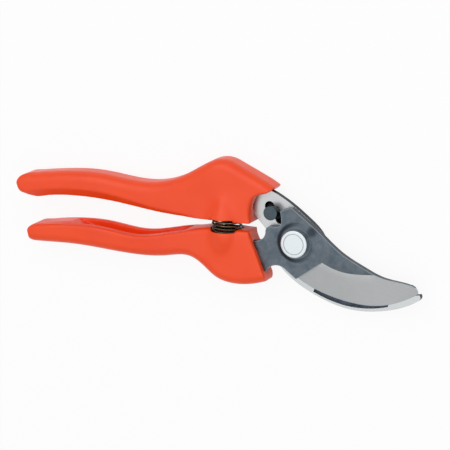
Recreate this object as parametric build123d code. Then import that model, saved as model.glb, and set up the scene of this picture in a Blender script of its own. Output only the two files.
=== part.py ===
from build123d import *
import math
import os

# Bypass pruning shears, closed and lying on their back.
# Frame: +Z is the pivot axis, towards the bolt head.  +X runs to the blade tips and +Y to the
# back of the upper handle.  The origin is on the pivot axis, on the resting plane.

# --- driving dimensions, millimetres and degrees ---------------------------------------------

# stack along the pivot axis
nut_height = 4.1
washer_thickness = 1.0
plate_thickness = 3.0
blade_thickness = 3.0
plate_play = 0.05
boss_rise = 0.9
head_thickness = 2.7

# pivot
shank_radius = 4.0
shank_play = 0.05
head_radius = 6.2
head_edge_round = 0.5
head_ring_radius = 4.7
head_ring_depth = 0.2
boss_top_radius = 7.0
boss_foot_radius = 9.3
nut_across_flats = 13.0
nut_corner_cut = 0.8
washer_radius = 7.6

# handles
handle_front = 14.5
head_rear_lift = 3.0
lift_start_x = -62.0
lift_end_x = -46.0
tail_round = 2.3
tail_corner_round = 3.0
upper_back_round = 4.4
lower_back_round = 4.0
mouth_round = 1.0
grip_front_round = 2.2
grip_rear_round = 0.8
rim_width = 3.0
pocket_depth = 3.6

# return spring
spring_x = -34.0
spring_z = 9.0
coil_radius = 6.3
wire_radius = 0.62
spring_turns = 7
spring_room = 0.3
mouth_y = 7.3
lower_mouth_y = 3.4
upper_seat_y = 11.2
lower_seat_y = 0.2
upper_boss_wall = 1.75
upper_boss_reach = 14.5
upper_boss_flare = 0.5
lower_boss_wall = 1.1
lower_boss_reach = 14.0
lower_boss_flare = 0.2
boss_waist = 0.7
boss_set_back = 0.7

# lock
lock_angle = 133.5
lock_rest_radius = 17.3
lock_travel = 1.5
lock_neck_radius = 1.4
lock_head_radius = 3.2
lock_head_thickness = 1.6
lock_head_edge_round = 0.25
lock_play = 0.06
slot_width = 3.7
slot_lobe_radius = 2.3
slot_end_room = 0.7
catch_width = 9.0
catch_thickness = 3.4
catch_overlap = 2.6
catch_tongue_reach = 2.2
catch_rib_count = 4
catch_rib_pitch = 2.6
catch_rib_width = 0.8
clip_radius = 3.0
clip_thickness = 0.6
clip_room = 0.3

# blade grinding
edge_land = 0.35
groove_depth = 0.9
run_out_angle = 16.0
ear_gap = 0.4
tang_hole_radius = 2.0

# --- levels that follow from them -------------------------------------------------------------

plate_rear = nut_height + washer_thickness
plate_front = plate_rear + plate_thickness
blade_rear = plate_front + plate_play
blade_front = blade_rear + blade_thickness
boss_top = blade_front + boss_rise
head_rear = boss_top + plate_play
head_front = head_rear + head_thickness
seat_radius = coil_radius + wire_radius + spring_room
catch_rear = plate_rear - lock_play - catch_thickness
slot_outer_radius = lock_rest_radius + catch_tongue_reach + slot_end_room
slot_inner_radius = lock_rest_radius - lock_travel - catch_tongue_reach - slot_end_room
ear_radius = lock_rest_radius - lock_neck_radius - ear_gap


def ring_point(radius, angle):
    """A point in the plan view at this radius and angle about the pivot axis."""
    turn = math.radians(angle)
    return (radius * math.cos(turn), radius * math.sin(turn))


def plate(outline, low, high):
    """A closed outline in the plan view, made into a plate between two levels."""
    return extrude(Plane.XY.offset(low) * make_face(outline), high - low)


def disc(radius, low, high, centre=(0, 0)):
    """A round disc or hole between two levels."""
    from_below = (Align.CENTER, Align.CENTER, Align.MIN)
    return Pos(centre[0], centre[1], low) * Cylinder(radius, high - low, align=from_below)


def edges_on(solid, curve, level):
    """The edges of a solid that run along a plan curve at one level."""
    lifted = Pos(0, 0, level) * curve
    return solid.edges().filter_by(lambda edge: lifted.distance_to(edge @ 0.5) < 0.01)


def turned(profile_outline, x, z):
    """A profile of radius and height, turned about an upright line of the plan view."""
    axis_plane = Plane(origin=(x, 0, z), x_dir=(1, 0, 0), z_dir=(0, 0, 1))
    return revolve(axis_plane * make_face(profile_outline), Axis((x, 0, z), (0, 1, 0)))


# --- handles ----------------------------------------------------------------------------------

def rounded_bar(side, far_corners, front_round, rear_round):
    """A thick bar with one shaped side, rounded along that side's front and rear edges."""
    bar = plate(side + Polyline(side @ 1, *far_corners, side @ 0), 0, handle_front)
    bar = fillet(edges_on(bar, side, handle_front), front_round)
    return fillet(edges_on(bar, side, 0), rear_round)


def raised_head():
    """All that lies in front of the lower handle's rear, which steps forward under its head."""
    beyond = 160.0
    rear = (Line((-beyond, 0), (lift_start_x, 0))
            + Spline((lift_start_x, 0), (lift_end_x, head_rear_lift), tangents=[(1, 0), (1, 0)])
            + Line((lift_end_x, head_rear_lift), (beyond, head_rear_lift)))
    front = Polyline((beyond, head_rear_lift), (beyond, handle_front), (-beyond, handle_front), (-beyond, 0))
    return extrude(Plane.XZ * make_face(rear + front), beyond, both=True)


def upper_handle_back():
    apex_right = (-29.5, 33.5)
    apex_left = (-40.6, 33.7)
    return (Line((6.0, 16.6), apex_right) + ThreePointArc(apex_right, (-34.6, 34.9), apex_left)
            + Spline(apex_left, (-56.7, 24.9), (-69.0, 21.7), (-98.4, 23.8), (-128.5, 21.5), (-150.0, 14.6),
                     tangents=[(-1.0, -0.50), (-1.0, -0.45)]))


def upper_handle_mouth():
    """The line of the upper handle's front end: its mouth, the round throat and the nose."""
    return Spline((-21.6, -4.0), (-21.1, 8.0), (-21.0, 15.2), (-18.7, 19.7), (-12.4, 21.8), (-8.6, 25.6),
                  (-4.0, 33.0))


def upper_handle_tail():
    """The line of the upper handle's tail, from its back round to its inner side."""
    return FilletPolyline((-112.0, 28.4), (-138.8, 18.0), (-136.7, 12.2), (-110.0, 5.5),
                          radius=tail_corner_round)


def upper_handle_grip():
    """The line of the upper handle's inner side, with a small heel at its tail end."""
    heel = (-128.6, 10.1)
    heel_end = (-121.0, 11.3)
    return (Spline((-150.0, 14.5), (-134.4, 11.6), heel, tangents=[(1.0, -0.15), (1.0, 0.0)])
            + Spline(heel, heel_end, tangents=[(1.0, 0.0), (1.0, 0.12)])
            + Spline(heel_end, (-104.0, 12.0), (-84.9, 10.6), (-63.5, 8.2), (-42.0, mouth_y),
                     (10.0, mouth_y), tangents=[(1.0, 0.12), (1.0, 0.0)]))


def palm_band():
    """The wedge that bevels the inner edge of the upper handle's front."""
    crease = [(-137.0, 10.5), (-130.6, 12.9), (-115.7, 15.5), (-104.8, 16.0), (-93.9, 15.5),
              (-83.1, 13.9), (-61.8, 10.1), (-45.0, 5.8)]
    reach = 9.0
    drop = 0.87 * reach
    clear = 2.0
    sections = []
    for x, y in crease:
        corners = [(x, y, handle_front), (x, y - reach, handle_front - drop),
                   (x, y - reach, handle_front + clear), (x, y, handle_front + clear)]
        sections.append(make_face(Polyline(*corners, close=True)))
    return loft(sections)


def spring_boss(mouth, reach, wall, flare):
    """The swelling round a spring seat, flared at its mouth and fading into the handle."""
    foot = mouth + reach
    mouth_radius = seat_radius + wall
    waist_radius = seat_radius - boss_waist
    waist = mouth + 0.62 * reach
    flank = (mouth_radius - flare * (mouth_radius - waist_radius), mouth + 0.27 * reach)
    shoulder = (0.66 * waist_radius, mouth + 0.89 * reach)
    profile = (Line((0, mouth), (mouth_radius, mouth))
               + ThreePointArc((mouth_radius, mouth), flank, (waist_radius, waist))
               + ThreePointArc((waist_radius, waist), shoulder, (0, foot)) + Line((0, foot), (0, mouth)))
    return turned(profile, spring_x, spring_z)


def spring_seat(mouth, floor):
    """The round pocket that takes one end of the return spring."""
    depth = mouth - floor
    overrun = math.copysign(3.0, depth)
    middle = floor + (depth + overrun) / 2
    return Pos(spring_x, middle, spring_z) * Rot(90, 0, 0) * Cylinder(seat_radius, abs(depth + overrun))


def upper_handle():
    back = upper_handle_back()
    mouth = upper_handle_mouth()
    body = rounded_bar(back, [(-150.0, -5.0), (6.0, -5.0)], upper_back_round, upper_back_round)
    far_side = [(-4.0, 50.0), (-150.0, 50.0), (-150.0, -4.0)]
    body = body & rounded_bar(mouth, far_side, mouth_round, mouth_round)
    body = body & rounded_bar(upper_handle_tail(), [(20.0, -5.0), (20.0, 50.0)], tail_round, tail_round)
    grip = upper_handle_grip()
    body = body & plate(grip + Polyline(grip @ 1, (10.0, 45.0), (-150.0, 45.0), grip @ 0), 0, handle_front)
    band = palm_band()
    body = body - band - mirror(band, Plane.XY.offset(handle_front / 2))
    boss = spring_boss(mouth_y + boss_set_back, upper_boss_reach, upper_boss_wall, upper_boss_flare)
    body = body + boss
    return body - spring_seat(mouth_y, upper_seat_y) - counter_blade_blank()


def lower_handle_back():
    return Spline((4.0, -11.0), (-17.0, -19.8), (-27.8, -21.5), (-38.4, -19.2), (-45.4, -13.8),
                  (-51.4, -10.8), (-62.0, -11.6), (-76.6, -12.6), (-107.0, -10.7), (-128.0, -10.9),
                  (-150.0, -10.6))


def lower_handle_grip():
    return Spline((-150.0, -8.0), (-129.4, -3.0), (-107.0, -0.2), (-94.0, -0.6), (-77.0, -2.5),
                  (-62.0, -0.3), (-44.3, lower_mouth_y - 0.2), (-8.0, lower_mouth_y),
                  tangents=[(1.0, 0.25), (1.0, 0.0)])


def lower_handle_end():
    """The line of the lower handle's front end, from its block down to the rounded toe."""
    toe = (-14.4, -15.6)
    return (Line((-22.9, 6.0), toe)
            + Spline(toe, (-14.2, -18.2), (-19.0, -22.6), tangents=[(0.37, -0.93), (-1.0, -0.55)]))


def lower_handle_tail():
    """The line of the lower handle's tail, from its back round to its inner side."""
    return FilletPolyline((-100.0, -12.6), (-132.4, -11.3), (-134.0, -3.5), (-100.0, 6.9),
                          radius=tail_corner_round)


def finger_pocket():
    """The lens-shaped hollow in the inner side of the lower handle, between its two rims."""
    left = (-113.5, 0.6)
    right = (-49.0, 3.2)
    lens = (ThreePointArc(left, (-80.0, -2.2 - pocket_depth), right)
            + Polyline(right, (-49.0, 9.0), (-113.5, 9.0), left))
    return plate(lens, rim_width, handle_front - rim_width)


def lower_handle():
    back = lower_handle_back()
    grip = lower_handle_grip()
    end = lower_handle_end()
    body = rounded_bar(back, [(-150.0, 20.0), (4.0, 20.0)], lower_back_round, lower_back_round)
    body = body & rounded_bar(grip, [(-8.0, -45.0), (-150.0, -45.0)], grip_front_round, grip_rear_round)
    far_side = [(-19.0, -45.0), (-150.0, -45.0), (-150.0, 6.0)]
    body = body & rounded_bar(end, far_side, mouth_round, mouth_round)
    body = body & rounded_bar(lower_handle_tail(), [(20.0, 20.0), (20.0, -45.0)], tail_round, tail_round)
    body = body & raised_head()
    boss = spring_boss(lower_mouth_y - boss_set_back, -lower_boss_reach, lower_boss_wall, lower_boss_flare)
    body = body + boss
    return body - finger_pocket() - spring_seat(lower_mouth_y, lower_seat_y) - cutting_blade_blank()


# --- plates -----------------------------------------------------------------------------------

def tang_holes(centres, low, high):
    """Holes that the handle's plastic fills, which lock the tang in it."""
    return [disc(tang_hole_radius, low, high, centre) for centre in centres]


def counter_blade_blank():
    """The hooked counter blade and its tang as cut from plate."""
    tip_top = (56.2, -18.9)
    tip_low = (55.6, -21.6)
    tang = Polyline((-19.9, 9.0), (-23.0, 13.0), (-25.0, 19.0), (-44.0, 19.0), (-50.0, 17.3), (-78.0, 14.6),
                    (-78.0, 18.8), (-54.0, 21.6), (-40.0, 29.6), (-31.0, 29.6), (-11.0, 20.8))
    top = Spline((-11.0, 20.8), (-3.7, 16.5), (3.9, 10.8), (10.4, 4.6), (13.0, -3.0))
    inner = Spline((13.0, -3.0), (20.0, -11.8), (30.0, -17.4), (43.0, -19.8), tip_top)
    nib = ThreePointArc(tip_top, (56.6, -20.4), tip_low)
    outer = Spline(tip_low, (50.7, -24.3), (41.8, -27.2), (32.3, -28.6), (23.0, -28.3), (14.6, -26.2),
                   (6.5, -22.9), (-1.5, -18.4), (-8.4, -12.4), (-14.0, -2.0))
    back = Line((-14.0, -2.0), (-14.6, 3.2)) + Line((-14.6, 3.2), (-19.9, 9.0))
    body = plate(tang + top + inner + nib + outer + back, plate_rear, plate_front)
    return body - tang_holes([(-33.0, 24.0), (-62.0, 18.2)], plate_rear, plate_front)


def slot_centre(radius):
    return ring_point(radius, lock_angle)


def obround(inner_radius, outer_radius, half_width, low, high):
    """A round-ended bar along the lock's line, between two levels."""
    length = outer_radius - inner_radius
    x, y = slot_centre((inner_radius + outer_radius) / 2)
    bar = SlotCenterToCenter(length, 2 * half_width, rotation=lock_angle)
    return Pos(x, y, low) * extrude(bar, high - low)


def lock_slot():
    low = plate_rear - 1
    high = plate_front + 1
    slot = obround(slot_inner_radius, slot_outer_radius, slot_width / 2, low, high)
    for radius in (slot_inner_radius, slot_outer_radius):
        slot += disc(slot_lobe_radius, low, high, slot_centre(radius))
    return slot


def sap_groove():
    """The shallow channel in the front of the hook, along and outside its shearing edge."""
    low_start = (7.0, -22.2)
    low_end = (41.8, -25.6)
    high_start = (9.0, -17.4)
    high_end = (42.6, -22.6)
    groove = (Spline(low_start, (14.6, -25.2), (23.0, -27.1), (32.3, -27.3), low_end)
              + Line(low_end, high_end)
              + Spline(high_end, (33.0, -23.6), (20.0, -22.0), high_start)
              + Line(high_start, low_start))
    return plate(groove, plate_front - groove_depth, plate_front + 1)


def counter_blade():
    body = counter_blade_blank() - lock_slot() - sap_groove()
    return body - disc(shank_radius + shank_play, plate_rear, plate_front)


def cutting_blade_blank():
    """The cutting blade and its tang as cut from plate, with the ears of the lock's notch."""
    tip = (55.7, -18.3)
    nib = (52.1, -14.4)
    heel = (0.0, -16.6)
    bay = (-14.5, -14.4)
    bay_end = (-4.6, -13.1)
    shoulder = (-17.1, -0.3)
    ear_start = ring_point(ear_radius, 98)
    ear_end = ring_point(ear_radius, 120)
    notch_floor = (-9.6, 6.4)
    low_ear = (-12.6, 6.3)
    low_ear_end = (-14.7, 3.9)
    spine_end = (1.0, 12.9)
    tang = Polyline(shoulder, (-21.5, -1.6), (-45.0, -3.8), (-70.0, -6.6), (-70.0, -9.6), (-50.0, -8.4),
                    (-38.0, -13.6), bay)
    front = ThreePointArc(bay, (-9.4, -11.1), bay_end) + Line(bay_end, heel)
    edge = Spline(heel, (7.1, -20.4), (14.7, -23.1), (23.1, -25.0), (32.4, -25.8), (41.9, -24.6),
                  (47.8, -22.5), tip)
    point = ThreePointArc(tip, (55.2, -16.2), nib)
    spine = (Spline(nib, (40.3, -12.4), (31.8, -8.9), (20.7, -2.9), (11.4, 4.8), spine_end,
                    tangents=[(-1.0, 0.30), (-0.80, 0.60)])
             + Line(spine_end, ear_start))
    ears = (ThreePointArc(ear_start, ring_point(ear_radius, 109), ear_end)
            + Spline(ear_end, (-7.3, 10.6), notch_floor, tangents=[(0.20, -1.0), (-1.0, 0.0)])
            + Line(notch_floor, low_ear)
            + ThreePointArc(low_ear, (-14.2, 5.5), low_ear_end)
            + ThreePointArc(low_ear_end, (-15.4, 1.3), shoulder))
    body = plate(tang + front + edge + point + spine + ears, blade_rear, blade_front)
    return body - tang_holes([(-30.0, -8.2), (-58.0, -7.6)], blade_rear, blade_front)


def bevel_grinding():
    """What grinding takes off the front of the blade, from the bevel's line to the cutting edge."""
    stations = [((-3.0, -16.6), (4.5, -5.0)), ((8.0, -20.9), (12.1, -7.9)), ((18.0, -24.0), (20.0, -10.9)),
                ((30.0, -25.7), (29.5, -11.6)), ((40.0, -25.0), (39.6, -10.8)),
                ((50.0, -21.6), (52.0, -9.0)), ((62.0, -15.0), (64.0, -4.0))]
    edge_level = blade_rear + edge_land
    above = blade_front + 3
    beyond = 0.2
    sections = []
    for edge, line in stations:
        foot_x = edge[0] + beyond * (edge[0] - line[0])
        foot_y = edge[1] + beyond * (edge[1] - line[1])
        foot_level = edge_level - beyond * (blade_front - edge_level)
        corners = [(*line, blade_front), (foot_x, foot_y, foot_level), (foot_x, foot_y, above),
                   (*line, above)]
        sections.append(make_face(Polyline(*corners, close=True)))
    return loft(sections)


def bevel_run_out():
    """The space over a shallow ramp, where the grinding wheel leaves the blade near its heel."""
    heel = Vector(0.0, -16.5, blade_front)
    peak = Vector(12.1, -7.9, blade_front)
    reach = 90.0
    along = (peak - heel).normalized()
    ramp_plane = Plane(origin=heel, x_dir=along.cross(Vector(0, 0, 1)), z_dir=along)
    depth = -blade_thickness
    length = blade_thickness / math.tan(math.radians(run_out_angle))
    profile = Polyline((0, 0), (length, depth), (reach, depth), (reach, 5.0), (0, 5.0), close=True)
    return extrude(ramp_plane * make_face(profile), reach, both=True)


def pivot_swelling():
    """The low dish that stands up round the bolt head on the blade."""
    profile = (Line((0, blade_front - 0.5), (boss_foot_radius, blade_front - 0.5))
               + Line((boss_foot_radius, blade_front - 0.5), (boss_foot_radius, blade_front))
               + ThreePointArc((boss_foot_radius, blade_front), (boss_top_radius + 0.8, blade_front + 0.35),
                               (boss_top_radius, boss_top))
               + Line((boss_top_radius, boss_top), (0, boss_top))
               + Line((0, boss_top), (0, blade_front - 0.5)))
    return revolve(Plane.XZ * make_face(profile), Axis.Z)


def cutting_blade():
    ground_away = bevel_grinding() & bevel_run_out()
    body = cutting_blade_blank() - ground_away + pivot_swelling()
    return body - disc(shank_radius + shank_play, blade_rear, boss_top)


# --- pivot ------------------------------------------------------------------------------------

def pivot_bolt():
    head = disc(head_radius, head_rear, head_front)
    head = fillet(head.edges().group_by(Axis.Z)[-1], head_edge_round)
    ring = disc(head_ring_radius, head_front - head_ring_depth, head_front + 1)
    ring -= disc(head_ring_radius - head_ring_depth, head_front - 1, head_front + 1)
    return head - ring + disc(shank_radius, 0, head_rear)


def pivot_nut():
    corner_radius = nut_across_flats / math.sqrt(3)
    hexagon = extrude(RegularPolygon(corner_radius, 6), nut_height)
    cone_top = corner_radius - nut_corner_cut
    tapered = Cone(corner_radius + nut_height, cone_top, nut_height + nut_corner_cut,
                   align=(Align.CENTER, Align.CENTER, Align.MIN))
    rounding = Pos(0, 0, nut_height) * Rot(180, 0, 0) * tapered
    return (hexagon & rounding) - disc(shank_radius + shank_play, 0, nut_height)


def pivot_washer():
    bore = disc(shank_radius + shank_play, nut_height, plate_rear)
    return disc(washer_radius, nut_height, plate_rear) - bore


# --- return spring ----------------------------------------------------------------------------

def return_spring():
    """Half turns of six-sided wire, each turned flat about its own middle and climbing half the pitch."""
    low = lower_seat_y + wire_radius + plate_play
    high = upper_seat_y - wire_radius - plate_play
    rise = (high - low) / (2 * spring_turns)
    half_turns = []
    for step in range(2 * spring_turns):
        side = 1 if step % 2 == 0 else -1
        start = Vector(spring_x + side * coil_radius, low + step * rise, spring_z)
        end = Vector(spring_x - side * coil_radius, low + (step + 1) * rise, spring_z)
        axis = Axis((start + end) / 2, (start - end).cross(Vector(0, 0, side)))
        wire = Plane(origin=start, z_dir=(0, 0, 1)) * RegularPolygon(wire_radius, 6)
        half_turns.append(revolve(wire, axis, 180))
    return half_turns[0].fuse(*half_turns[1:])


# --- lock -------------------------------------------------------------------------------------

def lock_pin():
    """The pin with a round head, whose flat-sided key catches the blade's ear."""
    x, y = slot_centre(lock_rest_radius)
    head_low = blade_front + lock_play
    key_low = plate_front + lock_play
    head = disc(lock_head_radius, head_low, head_low + lock_head_thickness, (x, y))
    head = fillet(head.edges().group_by(Axis.Z)[-1], lock_head_edge_round)
    half_strip = Pos(-lock_head_radius, 0) * Rectangle(2 * lock_head_radius, 2 * lock_neck_radius)
    key_face = Circle(lock_head_radius - 0.1) & half_strip
    key = Pos(x, y, key_low) * Rot(0, 0, lock_angle + 90) * extrude(key_face, head_low - key_low)
    return head + key + disc(lock_neck_radius, catch_rear + clip_room, head_low, (x, y))


def lock_catch():
    """The plastic thumb catch behind the counter blade, with a tongue that runs in the slot."""
    x, y = slot_centre(lock_rest_radius)
    top = plate_rear - lock_play
    pad = obround(lock_rest_radius - catch_overlap, lock_rest_radius + catch_overlap, catch_width / 2,
                  catch_rear, top)
    tongue = obround(lock_rest_radius - catch_tongue_reach, lock_rest_radius + catch_tongue_reach,
                     slot_width / 2 - lock_play, top - 0.1, plate_front - 0.1)
    body = pad + tongue
    for step in range(catch_rib_count):
        offset = (step - (catch_rib_count - 1) / 2) * catch_rib_pitch
        if abs(offset) > clip_radius:
            rib_x, rib_y = slot_centre(lock_rest_radius + offset)
            rib = Box(catch_rib_width, catch_width - clip_radius, 1.0)
            body += Pos(rib_x, rib_y, catch_rear) * Rot(0, 0, lock_angle) * rib
    body -= disc(lock_neck_radius + plate_play, catch_rear - 1, plate_front, (x, y))
    recess_floor = catch_rear + clip_thickness + clip_room
    return body - disc(clip_radius + clip_room, catch_rear - 1, recess_floor, (x, y))


def lock_clip():
    x, y = slot_centre(lock_rest_radius)
    low = catch_rear + clip_room
    ring = disc(clip_radius, low, low + clip_thickness, (x, y))
    return ring - disc(lock_neck_radius, low, low + clip_thickness, (x, y))


# --- parts ------------------------------------------------------------------------------------

pieces = {
    "upper_handle": upper_handle,
    "lower_handle": lower_handle,
    "counter_blade": counter_blade,
    "cutting_blade": cutting_blade,
    "pivot_bolt": pivot_bolt,
    "pivot_nut": pivot_nut,
    "pivot_washer": pivot_washer,
    "return_spring": return_spring,
    "lock_pin": lock_pin,
    "lock_catch": lock_catch,
    "lock_clip": lock_clip,
}

os.makedirs("parts", exist_ok=True)
for name, make in pieces.items():
    export_step(make(), f"parts/{name}.step")
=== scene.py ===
import math

import bpy
from mathutils import Matrix, Vector


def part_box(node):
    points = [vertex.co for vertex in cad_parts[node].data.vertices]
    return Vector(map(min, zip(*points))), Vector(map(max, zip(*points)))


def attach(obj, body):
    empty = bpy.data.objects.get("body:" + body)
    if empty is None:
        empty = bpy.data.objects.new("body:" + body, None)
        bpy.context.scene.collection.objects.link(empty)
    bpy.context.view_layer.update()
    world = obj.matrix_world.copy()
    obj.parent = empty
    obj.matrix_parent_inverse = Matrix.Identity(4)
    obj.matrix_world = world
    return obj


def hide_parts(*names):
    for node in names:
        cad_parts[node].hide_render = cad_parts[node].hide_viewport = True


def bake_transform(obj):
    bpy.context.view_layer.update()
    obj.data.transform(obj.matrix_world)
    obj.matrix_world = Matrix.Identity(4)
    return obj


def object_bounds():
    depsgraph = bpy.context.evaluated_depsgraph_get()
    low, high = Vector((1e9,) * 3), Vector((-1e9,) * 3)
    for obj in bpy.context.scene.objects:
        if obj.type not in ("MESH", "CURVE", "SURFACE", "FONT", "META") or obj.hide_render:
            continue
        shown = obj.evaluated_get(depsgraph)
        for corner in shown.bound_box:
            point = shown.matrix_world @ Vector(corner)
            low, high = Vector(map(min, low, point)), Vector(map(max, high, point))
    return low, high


# Looks of the bypass pruning shears: the finishes of all parts, the two handle mouldings, the
# wound spring, the plain floor, soft studio light and the camera.  Metres throughout, in the
# frame of the CAD model: +Z is the pivot axis and the blades point to +X.

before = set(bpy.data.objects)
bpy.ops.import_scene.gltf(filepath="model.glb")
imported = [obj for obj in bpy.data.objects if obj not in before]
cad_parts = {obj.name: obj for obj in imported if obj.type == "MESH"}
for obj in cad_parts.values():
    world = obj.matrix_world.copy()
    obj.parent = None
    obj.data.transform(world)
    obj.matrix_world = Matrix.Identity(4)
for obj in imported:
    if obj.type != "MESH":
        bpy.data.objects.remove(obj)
cad_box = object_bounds()

MM = 0.001

# --- camera, light and floor ------------------------------------------------------------------

camera_yaw = math.radians(23.0)
camera_pitch = math.radians(13.0)
camera_distance = 1.0
camera_aim = Vector((-33.4, 5.4, 12.8)) * MM
camera_lens = 180.0
camera_sensor = 36.0
camera_near = 0.01

key_light = {"place": (0.10, 0.22, 0.97), "size": 2.1, "power": 7.7}
fill_light = {"place": (-0.30, 0.60, 0.75), "size": 0.8, "power": 1.0}

floor_size = 4.0
floor_drop = 0.05 * MM          # keeps the floor and the object's underside apart
floor_white = (0.94, 0.94, 0.94, 1)
floor_glow = 0.90               # how far the floor is plain white to the camera and in mirrors
world_light = 0.44              # strength of the white world on the object
world_gloss = 0.64              # how far it nears full white in mirrors

# --- display colours, 0-255 -------------------------------------------------------------------

# The last colour of each plastic is the painted highlight on its edges.
handle_colours = {"colour": (251, 74, 6), "shade": (247, 68, 4), "pale_edge_highlight": (255, 112, 60)}
catch_colours = {"colour": (12, 13, 14), "shade": (8, 9, 10), "pale_edge_highlight": (36, 38, 40)}
# The bright colour of each steel is the painted highlight on its edges.
nut_colours = {"dark": (150, 152, 150), "light": (186, 188, 186), "bright": (231, 233, 231)}
lock_colours = {"dark": (61, 72, 78), "light": (77, 87, 93), "bright": (122, 132, 138)}
# Painted shade for the upright walls of the lock pin.
steel_painted_wall_shade = (22, 23, 25)

treated_dark = (79, 90, 99)
treated_light = (107, 116, 124)
treated_blotch = (92, 96, 100)
treated_speck = (58, 62, 68)
# Painted shade: the ring round the bolt's head and the patch beside it.
blade_painted_shade = (33, 38, 46)
bevel_dark = (168, 170, 171)
bevel_light = (183, 185, 186)
# Painted shade on the blade's walls.
blade_painted_wall_shade = (72, 72, 74)
blade_honed = (205, 208, 210)
# Painted highlight on the blade's edges.
blade_edge_highlight = (160, 172, 182)

hook_dark = (170, 173, 174)
hook_light = (197, 200, 201)
# Painted highlight on the counter blade's edges.
hook_edge_highlight = (226, 228, 226)
# Painted shade on the groove floor and cut edges of the counter blade.
hook_painted_shade_dark = (50, 57, 67)
hook_painted_shade_light = (70, 78, 90)
hook_painted_wall_shade = (30, 31, 34)

bolt_dark = (192, 199, 202)
bolt_light = (203, 209, 212)
# Painted shade in the ring groove of the bolt's head.
bolt_groove_painted_shade = (150, 157, 162)

wire_black = (10, 9, 9)
wire_brown = (30, 27, 24)
# Painted highlight on the outer side of each coil.
wire_painted_highlight = (132, 110, 84)

# --- places on the metal parts ----------------------------------------------------------------

upright_limit = 0.4             # a normal's height, below which a face counts as a wall
sloping_limits = (0.8, 0.9995)  # and between which it counts as the ground bevel
bevel_start = 10.0 * MM         # no bevel lies nearer to the pivot
shade_ring_radius = 8.3 * MM          # radius of the painted shade ring round the bolt's head
shade_ring_fade = (-5.0 * MM, 6.0 * MM)   # x where the painted shade ring begins to fade, and where it is faint
# middle of the painted shadow beside the bolt's head
painted_shadow_place = (7.2 * MM, 5.4 * MM)
honed_below = -15.5 * MM        # the blade's edge counts as honed under this y
# radius of the painted shade line in the head's ring groove
bolt_groove_radius = 4.6 * MM
plate_skin = 0.02 * MM          # the counter blade is bright only this near to its two faces
ring_waves = 14000.0            # radians to the metre, of the bolt's turned rings


def linear(red, green, blue):
    """A colour given as 0-255 display values, in the renderer's linear values."""
    values = []
    for value in (red, green, blue):
        share = value / 255
        values.append(share / 12.92 if share <= 0.04045 else ((share + 0.055) / 1.055) ** 2.4)
    return (*values, 1.0)


# --- node building ----------------------------------------------------------------------------

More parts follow.
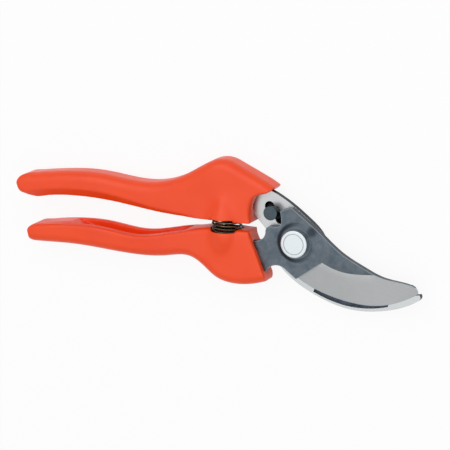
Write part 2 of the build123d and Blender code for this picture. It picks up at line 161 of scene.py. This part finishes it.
class Finish:
    """One procedural material, built node by node on the part's own coordinates."""

    def __init__(self, name, **constants):
        self.material = bpy.data.materials.new(name)
        self.material.use_nodes = True
        self.tree = self.material.node_tree
        self.tree.nodes.clear()
        self.shader = self.node("BsdfPrincipled")
        output = self.node("OutputMaterial")
        self.tree.links.new(self.shader.outputs["BSDF"], output.inputs["Surface"])
        self.place = self.node("TexCoord").outputs["Object"]
        for socket, value in constants.items():
            self.shader.inputs[socket.replace("_", " ")].default_value = value

    def node(self, kind, inputs=(), **settings):
        """A new node, each input set to a number or colour or linked to another node's output."""
        made = self.tree.nodes.new("ShaderNode" + kind)
        for setting, value in settings.items():
            setattr(made, setting, value)
        for socket, value in dict(inputs).items():
            if isinstance(value, bpy.types.NodeSocket):
                self.tree.links.new(value, made.inputs[socket])
            else:
                made.inputs[socket].default_value = value
        return made

    def math(self, operation, *values):
        return self.node("Math", enumerate(values), operation=operation).outputs[0]

    def times(self, first, second):
        return self.math("MULTIPLY", first, second)

    def between(self, value, low, high):
        """1 where the value lies between the two limits, 0 elsewhere."""
        return self.times(self.math("LESS_THAN", value, high),
                          self.math("GREATER_THAN", value, low))

    def map_range(self, value, low, high, to_low=0.0, to_high=1.0):
        inputs = {"Value": value, "From Min": low, "From Max": high,
                  "To Min": to_low, "To Max": to_high}
        return self.node("MapRange", inputs, interpolation_type="SMOOTHSTEP").outputs[0]

    def noise(self, scale, detail=3.0, roughness=0.55, at=None):
        inputs = {"Vector": at or self.place, "Scale": scale, "Detail": detail,
                  "Roughness": roughness}
        return self.node("TexNoise", inputs).outputs["Fac"]

    def patches(self, scale, low, high, to_low=0.0, to_high=1.0, **noise):
        """Soft-edged patches of noise, which begin at one of its values and are full at another."""
        return self.map_range(self.noise(scale, **noise), low, high, to_low, to_high)

    def brushed(self, turn, scale, detail=3.0, roughness=0.6):
        """Brushed lines: noise on coordinates that are turned about +Z and stretched."""
        inputs = {"Vector": self.place, "Rotation": (0, 0, turn), "Scale": scale}
        return self.noise(1.0, detail, roughness, self.node("Mapping", inputs).outputs[0])

    def mix(self, share, first, second):
        """Goes from one colour to another, each a display colour or another node's output."""
        first, second = (linear(*colour) if isinstance(colour, tuple) else colour
                         for colour in (first, second))
        inputs = {"Factor": share, 6: first, 7: second}
        return self.node("Mix", inputs, data_type="RGBA").outputs[2]

    def tinted(self, body, colour, share, most=1.0):
        """The body with a colour laid over it where the share says, up to the most."""
        return self.mix(self.times(share, most), body, colour)

    def axes(self, vector):
        return self.node("SeparateXYZ", {0: vector}).outputs

    def distance(self, x=0.0, y=0.0):
        """How far a place is from an upright line at x and y, or from the pivot axis."""
        squares = []
        for value, centre in zip(self.axes(self.place), (x, y)):
            offset = self.math("SUBTRACT", value, centre)
            squares.append(self.times(offset, offset))
        return self.math("POWER", self.math("ADD", *squares), 0.5)

    def ring(self, radius, full, gone, most):
        """A soft line round the pivot axis, at its most within one distance, gone at another."""
        off = self.math("ABSOLUTE", self.math("SUBTRACT", self.distance(), radius))
        return self.map_range(off, full, gone, most, 0.0)

    def facing_up(self):
        """The height of the surface's own normal: 1 on a level face, 0 on an upright one."""
        return self.axes(self.node("NewGeometry").outputs["True Normal"])[2]

    def upright(self):
        """1 on the walls of the part, 0 elsewhere."""
        return self.math("LESS_THAN", self.math("ABSOLUTE", self.facing_up()), upright_limit)

    def marked(self, name):
        """A value that a piece's own mesh carries from point to point."""
        return self.node("Attribute", attribute_name=name).outputs["Fac"]

    def rounded(self, radius):
        """The normal as it would be with the edges rounded to this radius."""
        return self.node("Bevel", {"Radius": radius}, samples=6).outputs[0]

    def edge_share(self, radius):
        """Rises from 0 to 1 at the part's sharp edges, within this radius of them."""
        inputs = {0: self.rounded(radius), 1: self.node("NewGeometry").outputs["Normal"]}
        likeness = self.node("VectorMath", inputs, operation="DOT_PRODUCT").outputs["Value"]
        return self.map_range(likeness, 0.75, 0.995, 1.0, 0.0)

    def bump(self, height, distance, strength, edge_radius):
        """Relief on the surface, on top of softly rounded edges."""
        inputs = {"Distance": distance, "Strength": strength, "Height": height,
                  "Normal": self.rounded(edge_radius)}
        return self.node("Bump", inputs).outputs[0]

    def surface(self, colour, roughness, normal):
        """The finished material, with what its shader is fed."""
        for socket, value in (("Base Color", colour), ("Roughness", roughness), ("Normal", normal)):
            self.tree.links.new(value, self.shader.inputs[socket])
        return self.material


# --- finishes ---------------------------------------------------------------------------------

def moulded_plastic(name, colour, shade, pale_edge_highlight, gloss=0.5):
    """Injection-moulded plastic: fine grain, faint flow clouds, and a painted highlight on the
    edges, broken into patches like handling wear.
    """
    finish = Finish(name, Specular_IOR_Level=gloss)
    body = finish.mix(finish.patches(38.0, 0.35, 0.68), colour, shade)
    body = finish.tinted(body, shade, finish.patches(900.0, 0.62, 0.74, roughness=0.7), 0.10)
    # Pale edges: a painted highlight, broken into patches like handling wear.
    highlight_wear_patches = finish.patches(160.0, 0.3, 0.7, 0.1, 0.5)
    body = finish.tinted(body, pale_edge_highlight, finish.times(finish.edge_share(0.7 * MM), highlight_wear_patches))
    rubbed = finish.patches(70.0, 0.3, 0.7, 0.32, 0.42, detail=4.0, roughness=0.6)
    grain = finish.noise(2600.0, detail=2.0)
    relief = finish.math("ADD", grain, finish.times(finish.noise(320.0), 1.4))
    return finish.surface(body, rubbed, finish.bump(relief, 0.012 * MM, 0.9, 0.45 * MM))


def steel(name, dark, light, bright, brushed_turn, mottle, painted_wall_share=0.0):
    """Plain steel with a cloudy, brushed surface, a painted highlight on its edges, and painted
    shade on its walls as far as the wall share says.
    """
    finish = Finish(name, Metallic=1.0)
    clouds = finish.patches(mottle, 0.32, 0.70, detail=5.0, roughness=0.65)
    lines = finish.brushed(brushed_turn, (160.0, 4200.0, 900.0), detail=2.0, roughness=0.5)
    share = finish.math("ADD", finish.times(clouds, 0.7), finish.times(lines, 0.3))
    body = finish.mix(share, dark, light)
    # Upright walls darkened: painted shade.
    body = finish.tinted(body, steel_painted_wall_shade, finish.upright(), painted_wall_share)
    # A painted highlight along the sharp edges.
    body = finish.tinted(body, bright, finish.edge_share(0.25 * MM), 0.5)
    rough = finish.map_range(clouds, 0.0, 1.0, 0.30, 0.44)
    return finish.surface(body, rough, finish.bump(lines, 0.004 * MM, 0.8, 0.15 * MM))


def blade_steel():
    """Dark treated steel whose bevel is ground bare, with a honed line at the very edge."""
    finish = Finish("blade_steel_finish", Metallic=1.0)
    x, y, _ = finish.axes(finish.place)
    patches = finish.patches(260.0, 0.34, 0.68, detail=6.0, roughness=0.7)
    treated = finish.mix(patches, treated_dark, treated_light)
    blotches = finish.patches(70.0, 0.35, 0.65, roughness=0.6)
    treated = finish.tinted(treated, treated_blotch, blotches, 0.35)
    specks = finish.patches(1500.0, 0.60, 0.70, roughness=0.75)
    treated = finish.tinted(treated, treated_speck, specks, 0.35)
    # A painted shade ring round the bolt's head, fading towards +x as the light falls.
    ring = finish.times(finish.ring(shade_ring_radius, 0.3 * MM, 1.3 * MM, 0.85),
                        finish.map_range(x, *shade_ring_fade, 1.0, 0.15))
    # A painted shadow beside the bolt's head.
    painted_shadow = finish.map_range(finish.distance(*painted_shadow_place), 1.0 * MM, 3.4 * MM, 0.75, 0.0)
    treated = finish.mix(finish.math("MAXIMUM", ring, painted_shadow), treated, blade_painted_shade)
    lines = finish.brushed(math.radians(62.0), (260.0, 5200.0, 900.0))
    bare = finish.mix(lines, bevel_dark, bevel_light)
    ground = finish.times(finish.between(finish.facing_up(), *sloping_limits),
                          finish.math("GREATER_THAN", finish.distance(), bevel_start))
    body = finish.mix(ground, treated, bare)
    upright = finish.upright()
    honed = finish.times(upright, finish.math("LESS_THAN", y, honed_below))
    # Walls darkened: painted shade.
    body = finish.tinted(body, blade_painted_wall_shade, upright, 0.7)
    body = finish.tinted(body, blade_honed, honed, 0.9)
    # A painted highlight along the sharp edges.
    body = finish.tinted(body, blade_edge_highlight, finish.edge_share(0.9 * MM), 0.7)
    rough = finish.map_range(patches, 0.0, 1.0, 0.38, 0.52)
    relief = finish.math("ADD", finish.times(lines, ground), finish.noise(1200.0))
    return finish.surface(body, rough, finish.bump(relief, 0.006 * MM, 0.8, 0.12 * MM))


def hook_steel():
    """Bright brushed plate, with painted shade on its cut edges and on the floor of the sap groove,
    and a painted highlight along its sharp edges.
    """
    finish = Finish("hook_steel_finish", Metallic=1.0)
    lines = finish.brushed(math.radians(-38.0), (220.0, 5200.0, 900.0))
    clouds = finish.patches(90.0, 0.3, 0.7, detail=4.0, roughness=0.6)
    share = finish.math("ADD", finish.times(lines, 0.5), finish.times(clouds, 0.5))
    bright = finish.mix(share, hook_dark, hook_light)
    # Painted shade for the groove floor and the cut edges, darker again on the walls.
    dark = finish.mix(finish.patches(300.0, 0.3, 0.7, detail=4.0), hook_painted_shade_dark, hook_painted_shade_light)
    dark = finish.tinted(dark, hook_painted_wall_shade, finish.upright(), 0.75)
    rear, front = (corner.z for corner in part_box("counter_blade"))
    painted_shade_places = finish.between(finish.axes(finish.place)[2], rear + plate_skin, front - plate_skin)
    body = finish.mix(painted_shade_places, bright, dark)
    # A painted highlight along the sharp edges.
    body = finish.tinted(body, hook_edge_highlight, finish.edge_share(0.25 * MM), 0.4)
    rough = finish.map_range(clouds, 0.0, 1.0, 0.30, 0.42)
    return finish.surface(body, rough, finish.bump(lines, 0.004 * MM, 0.8, 0.15 * MM))


def turned_steel():
    """Bright steel with the fine rings that a lathe leaves round the pivot axis."""
    finish = Finish("bolt_steel_finish", Metallic=1.0)
    clouds = finish.patches(220.0, 0.3, 0.7, detail=4.0, roughness=0.65)
    body = finish.mix(clouds, bolt_dark, bolt_light)
    # A darker line in the head's ring groove: painted shade.
    body = finish.mix(finish.ring(bolt_groove_radius, 0.0, 0.35 * MM, 0.55), body, bolt_groove_painted_shade)
    rough = finish.map_range(clouds, 0.0, 1.0, 0.24, 0.34)
    rings = finish.math("SINE", finish.times(finish.distance(), ring_waves))
    relief = finish.math("ADD", finish.times(rings, 0.6), finish.noise(1400.0))
    return finish.surface(body, rough, finish.bump(relief, 0.003 * MM, 0.4, 0.2 * MM))


def oiled_wire():
    """Blackened spring wire, with a painted bronze highlight on the side of each coil that faces
    out.
    """
    finish = Finish("spring_steel_finish", Metallic=1.0)
    patches = finish.patches(420.0, 0.32, 0.66, 0.35, 1.0, detail=4.0, roughness=0.6)
    highlight_side = finish.map_range(finish.marked("highlight_side"), 0.62, 0.95)
    body = finish.mix(patches, wire_black, wire_brown)
    # A painted bronze highlight on the outer side of each coil.
    body = finish.tinted(body, wire_painted_highlight, highlight_side, patches)
    rough = finish.map_range(patches, 0.35, 1.0, 0.34, 0.26)
    relief = finish.noise(2400.0)
    return finish.surface(body, rough, finish.bump(relief, 0.003 * MM, 0.6, 0.1 * MM))


finishes = {
    "handle_plastic": moulded_plastic("handle_plastic_finish", **handle_colours),
    "blade_steel": blade_steel(),
    "hook_steel": hook_steel(),
    "bolt_steel": turned_steel(),
    "nut_steel": steel("nut_steel_finish", **nut_colours, brushed_turn=0.4, mottle=240.0),
    "spring_steel": oiled_wire(),
    "lock_steel": steel("lock_steel_finish", **lock_colours, brushed_turn=0.9, mottle=320.0,
                        painted_wall_share=0.85),
    "catch_plastic": moulded_plastic("catch_plastic_finish", **catch_colours, gloss=0.12),
}

finish_of = {
    "upper_handle": "handle_plastic",
    "lower_handle": "handle_plastic",
    "counter_blade": "hook_steel",
    "cutting_blade": "blade_steel",
    "pivot_bolt": "bolt_steel",
    "pivot_nut": "nut_steel",
    "pivot_washer": "nut_steel",
    "return_spring": "spring_steel",
    "lock_pin": "lock_steel",
    "lock_catch": "catch_plastic",
    "lock_clip": "nut_steel",
}


# --- carried parts ----------------------------------------------------------------------------

join_distance = 0.0005 * MM
corner_angle = math.radians(28.0)


def soft_normals():
    """A modifier that joins a part's faces and shades them smooth up to a real corner."""
    group = bpy.data.node_groups.new("soft_normals", "GeometryNodeTree")
    group.interface.new_socket("Geometry", in_out="INPUT", socket_type="NodeSocketGeometry")
    group.interface.new_socket("Geometry", in_out="OUTPUT", socket_type="NodeSocketGeometry")
    entry = group.nodes.new("NodeGroupInput")
    leave = group.nodes.new("NodeGroupOutput")
    merge = group.nodes.new("GeometryNodeMergeByDistance")
    merge.inputs["Distance"].default_value = join_distance
    faces = group.nodes.new("GeometryNodeSetShadeSmooth")
    edges = group.nodes.new("GeometryNodeSetShadeSmooth")
    edges.domain = "EDGE"
    edges.inputs["Shade Smooth"].default_value = False
    angle = group.nodes.new("GeometryNodeInputMeshEdgeAngle")
    sharp = group.nodes.new("FunctionNodeCompare")
    sharp.operation = "GREATER_THAN"
    sharp.inputs[1].default_value = corner_angle
    for source, target in ((entry.outputs[0], merge.inputs["Geometry"]),
                           (merge.outputs[0], faces.inputs["Geometry"]),
                           (faces.outputs[0], edges.inputs["Geometry"]),
                           (angle.outputs["Unsigned Angle"], sharp.inputs[0]),
                           (sharp.outputs[0], edges.inputs["Selection"]),
                           (edges.outputs[0], leave.inputs[0])):
        group.links.new(source, target)
    return group


def dress_carried_parts():
    smooth = soft_normals()
    for name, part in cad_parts.items():
        part.data.materials.clear()
        part.data.materials.append(finishes[finish_of[name]])
        part.modifiers.new("soft_normals", "NODES").node_group = smooth


# --- mesh tools -------------------------------------------------------------------------------

def placed(name, data):
    """A new object, linked into the scene."""
    holder = bpy.data.objects.new(name, data)
    bpy.context.scene.collection.objects.link(holder)
    return holder


def applied(holder):
    """The mesh that an object's modifiers give.  The object itself goes."""
    depsgraph = bpy.context.evaluated_depsgraph_get()
    made = bpy.data.meshes.new_from_object(holder.evaluated_get(depsgraph))
    bpy.data.objects.remove(holder)
    return made


def relaxed(mesh, rounds, weight=None):
    """The mesh with its points eased towards their neighbours, where the weight says so."""
    holder = placed("relaxing", mesh)
    ease = holder.modifiers.new("ease", "SMOOTH")
    ease.factor = 0.5
    ease.iterations = rounds
    if weight:
        group = holder.vertex_groups.new(name="eased")
        for point in mesh.vertices:
            share = weight(point.co)
            if share > 0:
                group.add([point.index], share, "REPLACE")
        ease.vertex_group = "eased"
    return applied(holder)


def remeshed(mesh, size):
    """The mesh built again from even faces of one size, which takes up its sharp corners."""
    holder = placed("remeshing", mesh.copy())
    even = holder.modifiers.new("even", "REMESH")
    even.mode = "VOXEL"
    even.voxel_size = size
    return applied(holder)


def ramp(value, zero, one):
    """0 at or before the first value, 1 at or beyond the second, and straight between."""
    return min(1.0, max(0.0, (value - zero) / (one - zero)))


def outline(mesh, side):
    """The outermost height of a handle, on its upper or lower side, at any place along it."""
    cell = 1.0 * MM
    reach = {}
    for point in mesh.vertices:
        place = round(point.co.x / cell)
        reach[place] = max(reach.get(place, -1.0), side * point.co.y)

    def height(x):
        place = x / cell
        before = math.floor(place)
        first = reach.get(before, reach.get(before + 1, 0.0))
        return side * (first + (reach.get(before + 1, first) - first) * (place - before))

    return height


# --- handle mouldings -------------------------------------------------------------------------

# Each pair of lengths below is where an effect begins and where it is full.

moulding_voxel = 0.38 * MM

rim_rear_x = (-128.0 * MM, -112.0 * MM)     # ends of the finger pocket, from the pivot
rim_head_x = (-46.0 * MM, -54.0 * MM)
grip_head_x = -60.0 * MM                    # the grip proper lies behind this
rim_across = 1.1 * MM
rim_depth = 4.6 * MM

bulge_length = 9.5 * MM
bulge_factor = 1.5
bulge_depth = 4.0 * MM
upper_tail = {"radius": 3.2 * MM, "draw": 0.35, "bulge": 0.6 * MM}
lower_tail = {"radius": 4.2 * MM, "draw": 0.62, "bulge": 0.5 * MM}
tail_length = 12.0 * MM                     # the lower handle's last stretch, which is shortened
tail_short = 0.6 * MM
nose_length = 5.0 * MM                      # and the upper handle's first
nose_short = 0.9 * MM

swelling_reach = 9.8 * MM
swelling_half_width = 7.5 * MM
swelling_taper = 4.4 * MM                   # by how much it is narrower at its far end
swelling_power = 1.5
front_share = 0.6                           # of a handle's height; its front face is above that

settle_rounds = 5
flare_rounds = 24
flare_mouth = (0.6 * MM, 2.6 * MM)
flare_reach = (17.0 * MM, 13.0 * MM)
flare_squash = 0.8
rim_rounds = 12
rim_roll = (6.0 * MM, 3.0 * MM)
rim_head_clear = (8.0 * MM, 14.0 * MM)
rim_front_z = (9.0 * MM, 11.0 * MM)
back_rounds = 90
back_roll = (7.0 * MM, 3.5 * MM)
back_nose_clear = (3.0 * MM, 8.0 * MM)
tail_rounds = 40
tail_reach = (17.0 * MM, 9.0 * MM)
nose_rounds = 60
nose_reach = (4.5 * MM, 2.0 * MM)


def rolled_rim(mesh, back):
    """Rolls the front rim of the lower handle down towards its finger pocket."""
    front = max(point.co.z for point in mesh.vertices if point.co.x < grip_head_x)
    for point in mesh.vertices:
        share = ramp(point.co.x, *rim_rear_x) * ramp(point.co.x, *rim_head_x)
        if share > 0 and point.co.z > front - rim_depth:
            rise = (point.co.z - front + rim_depth) / rim_depth
            point.co.y = min(point.co.y, back(point.co.x) - rim_across * share * rise)


def round_tail(mesh, radius, draw, bulge):
    """Rounds the end of a handle and fills out its back just before the end."""
    back = outline(mesh, 1.0)
    belly = outline(mesh, -1.0)
    end = min(point.co.x for point in mesh.vertices)
    middle = (back(end + radius) + belly(end + radius)) / 2
    for point in mesh.vertices:
        along = (point.co.x - end) / bulge_length
        if 0 < along < 1 and point.co.y > middle:
            fullness = bulge_factor * math.sin(math.pi * along) * (1 - along)
            point.co.y += bulge * fullness * ramp(point.co.y, middle, middle + bulge_depth)
        along = (point.co.x - end) / radius
        if along < 1:
            width = math.sqrt(1 - draw * (1 - along) ** 2)
            point.co.y = middle + (point.co.y - middle) * width


def shortened(mesh, base, tip, amount):
    """Draws one end of a handle back a little, more and more from its base to its tip."""
    for point in mesh.vertices:
        point.co.x += amount * ramp(point.co.x, base, tip)


def swell(mesh, spring_x, mouth, inward, height):
    """Raises the bell-shaped swelling that a handle's front face has over the spring."""
    front = max(point.co.z for point in mesh.vertices)
    for point in mesh.vertices:
        along = inward * (point.co.y - mouth) / swelling_reach
        if along < 1 and point.co.z > front_share * front:
            half_width = swelling_half_width - swelling_taper * max(0.0, along)
            across = abs(point.co.x - spring_x) / half_width
            if across < 1:
                share = (1 - across ** 2) ** swelling_power * math.sqrt(1 - max(0.0, along) ** 2)
                point.co.z += height * share


def moulding(name, body, spring_side, swelling, rim=False):
    """A handle as it leaves the mould: edges eased, tail and nose round, flares soft."""
    low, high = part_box(name)
    spring_low, spring_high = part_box("return_spring")
    spring_x = (spring_low.x + spring_high.x) / 2
    mouth = low.y if spring_side < 0 else high.y
    inward = -spring_side
    mesh = remeshed(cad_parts[name].data, moulding_voxel)
    back = outline(mesh, 1.0)
    if rim:
        rolled_rim(mesh, back)
        round_tail(mesh, **lower_tail)
        shortened(mesh, low.x + tail_length, low.x, tail_short)
    else:
        round_tail(mesh, **upper_tail)
        tip = max(point.co.x for point in mesh.vertices)
        shortened(mesh, tip - nose_length, tip, -nose_short)

    def flare_share(point):
        away = math.hypot(point.x - spring_x, flare_squash * (point.y - mouth))
        return ramp(inward * (point.y - mouth), *flare_mouth) * ramp(away, *flare_reach)

    def back_share(point):
        return (ramp(back(point.x) - point.y, *back_roll)
                * ramp(high.x - point.x, *back_nose_clear))

    def rim_share(point):
        return (ramp(back(point.x) - point.y, *rim_roll)
                * ramp(spring_x - point.x, *rim_head_clear) * ramp(point.z, *rim_front_z))

    mesh = relaxed(mesh, settle_rounds)
    mesh = relaxed(mesh, flare_rounds, flare_share)
    swell(mesh, spring_x, mouth, inward, swelling)
    if rim:
        mesh = relaxed(mesh, rim_rounds, rim_share)
    else:
        mesh = relaxed(mesh, back_rounds, back_share)
    mesh = relaxed(mesh, tail_rounds, lambda point: ramp(point.x - low.x, *tail_reach))
    mesh = relaxed(mesh, nose_rounds, lambda point: ramp(high.x - point.x, *nose_reach))
    mesh.name = name + "_moulding"
    for polygon in mesh.polygons:
        polygon.use_smooth = True
    piece = placed(name + "_moulding", mesh)
    mesh.materials.clear()
    mesh.materials.append(finishes["handle_plastic"])
    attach(piece, body)
    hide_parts(name)


# --- return spring ----------------------------------------------------------------------------

wire = 0.6 * MM             # half the wire's thickness, square to the coil's axis
wire_along = 0.44 * MM      # and along it: flatter
turns = 7.0
dead_turns = 1.2            # closed turns at each end
dead_pitch = 2.1 * wire
steps_per_turn = 44
wire_sides = 12


def wire_line(middle, start_y, length, coil):
    """The wire's middle line: closed turns at both ends, open turns between."""
    dead_length = dead_turns * dead_pitch
    points = []
    for step in range(int(turns * steps_per_turn) + 1):
        turn = step / steps_per_turn
        if turn < dead_turns:
            height = dead_length * turn / dead_turns
        elif turn > turns - dead_turns:
            height = length - dead_length * (turns - turn) / dead_turns
        else:
            share = (turn - dead_turns) / (turns - 2 * dead_turns)
            height = dead_length + (length - 2 * dead_length) * share
        angle = 2 * math.pi * turn
        points.append(Vector((middle.x + coil * math.cos(angle), start_y + height,
                              middle.z + coil * math.sin(angle))))
    return points


def wire_mesh(name, points, middle):
    """A closed tube along the points, which carries the share that faces out of the coil, where the
    painted highlight goes.
    """
    vertices = []
    outwardness = []
    for place, point in enumerate(points):
        ahead = points[min(place + 1, len(points) - 1)]
        behind = points[max(place - 1, 0)]
        along = (ahead - behind).normalized()
        outward = Vector((point.x - middle.x, 0, point.z - middle.z)).normalized()
        outward = (outward - along * outward.dot(along)).normalized()
        sideways = along.cross(outward)
        for side in range(wire_sides):
            angle = 2 * math.pi * side / wire_sides
            vertices.append(point + wire * math.cos(angle) * outward
                            + wire_along * math.sin(angle) * sideways)
            outwardness.append(max(0.0, math.cos(angle)))
    faces = []
    for first in range(0, (len(points) - 1) * wire_sides, wire_sides):
        for side in range(wire_sides):
            after = (side + 1) % wire_sides
            faces.append((first + side, first + after,
                          first + wire_sides + after, first + wire_sides + side))
    faces.append(tuple(range(wire_sides)))
    faces.append(tuple(reversed(range(len(vertices) - wire_sides, len(vertices)))))
    mesh = bpy.data.meshes.new(name)
    mesh.from_pydata(vertices, [], faces)
    mesh.attributes.new("highlight_side", "FLOAT", "POINT").data.foreach_set("value", outwardness)
    mesh.update()
    for polygon in mesh.polygons:
        polygon.use_smooth = len(polygon.vertices) == 4
    return mesh


def wound_spring():
    """The return spring as wound wire, in place of the CAD spring."""
    low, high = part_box("return_spring")
    middle = (low + high) / 2
    points = wire_line(middle, start_y=low.y + wire_along, length=high.y - low.y - 2 * wire_along,
                       coil=(high.x - low.x) / 2 - wire)
    spring = placed("wound_spring", wire_mesh("wound_spring", points, middle))
    spring.data.materials.append(finishes["spring_steel"])
    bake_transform(spring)
    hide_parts("return_spring")


# --- stage ------------------------------------------------------------------------------------

def seen_share(tree, gloss=1.0):
    """1 for what the camera sees, this much for a mirror image, 0 for the light on the object."""
    rays = tree.nodes.new("ShaderNodeLightPath")
    mirrored = tree.nodes.new("ShaderNodeMath")
    mirrored.operation = "MAXIMUM"
    tree.links.new(rays.outputs["Is Glossy Ray"], mirrored.inputs[0])
    tree.links.new(rays.outputs["Is Transmission Ray"], mirrored.inputs[1])
    weighed = tree.nodes.new("ShaderNodeMath")
    weighed.operation = "MULTIPLY"
    tree.links.new(mirrored.outputs[0], weighed.inputs[0])
    weighed.inputs[1].default_value = gloss
    total = tree.nodes.new("ShaderNodeMath")
    total.operation = "MAXIMUM"
    tree.links.new(rays.outputs["Is Camera Ray"], total.inputs[0])
    tree.links.new(weighed.outputs[0], total.inputs[1])
    return total.outputs[0]


def make_floor():
    mesh = bpy.data.meshes.new("floor")
    half = floor_size / 2
    level = cad_box[0].z - floor_drop
    corners = [(x * half, y * half, level) for x, y in ((-1, -1), (1, -1), (1, 1), (-1, 1))]
    mesh.from_pydata(corners, [], [(0, 1, 2, 3)])
    floor = placed("floor", mesh)
    material = bpy.data.materials.new("white_floor")
    material.use_nodes = True
    tree = material.node_tree
    tree.nodes.clear()
    output = tree.nodes.new("ShaderNodeOutputMaterial")
    paint = tree.nodes.new("ShaderNodeBsdfDiffuse")
    paint.inputs["Color"].default_value = floor_white
    glow = tree.nodes.new("ShaderNodeEmission")
    share = tree.nodes.new("ShaderNodeMath")
    share.operation = "MULTIPLY"
    share.inputs[1].default_value = floor_glow
    tree.links.new(seen_share(tree), share.inputs[0])
    blend = tree.nodes.new("ShaderNodeMixShader")
    tree.links.new(share.outputs[0], blend.inputs[0])
    tree.links.new(paint.outputs[0], blend.inputs[1])
    tree.links.new(glow.outputs[0], blend.inputs[2])
    tree.links.new(blend.outputs[0], output.inputs["Surface"])
    mesh.materials.append(material)


def make_world():
    world = bpy.data.worlds.new("studio")
    world.use_nodes = True
    tree = world.node_tree
    background = tree.nodes["Background"]
    background.inputs["Color"].default_value = (1, 1, 1, 1)
    strength = tree.nodes.new("ShaderNodeMapRange")
    strength.inputs["To Min"].default_value = world_light
    strength.inputs["To Max"].default_value = 1.0
    tree.links.new(seen_share(tree, world_gloss), strength.inputs["Value"])
    tree.links.new(strength.outputs[0], background.inputs["Strength"])
    bpy.context.scene.world = world


def softbox(name, place, size, power):
    """A round area lamp that faces the middle of the object."""
    lamp = bpy.data.lights.new(name, "AREA")
    lamp.shape = "DISK"
    lamp.size = size
    lamp.energy = power
    object_middle = (cad_box[0] + cad_box[1]) / 2
    holder = placed(name, lamp)
    holder.location = place
    holder.rotation_mode = "QUATERNION"
    holder.rotation_quaternion = (object_middle - Vector(place)).to_track_quat("-Z", "Y")


def make_camera():
    towards = Vector((math.sin(camera_yaw) * math.cos(camera_pitch), math.sin(camera_pitch),
                      math.cos(camera_yaw) * math.cos(camera_pitch)))
    right = Vector((0, 1, 0)).cross(towards).normalized()
    up = towards.cross(right)
    camera = placed("camera", bpy.data.cameras.new("camera"))
    turned = Matrix((right, up, towards)).transposed().to_4x4()
    camera.matrix_world = Matrix.Translation(camera_aim + camera_distance * towards) @ turned
    camera.data.lens = camera_lens
    camera.data.sensor_width = camera_sensor
    camera.data.clip_start = camera_near
    bpy.context.scene.camera = camera


dress_carried_parts()
wound_spring()
moulding("upper_handle", "upper_half", spring_side=-1.0, swelling=1.1 * MM)
moulding("lower_handle", "lower_half", spring_side=1.0, swelling=0.4 * MM, rim=True)
make_floor()
make_world()
softbox("key", **key_light)
softbox("fill", **fill_light)
make_camera()

bpy.context.scene.view_settings.view_transform = "Standard"
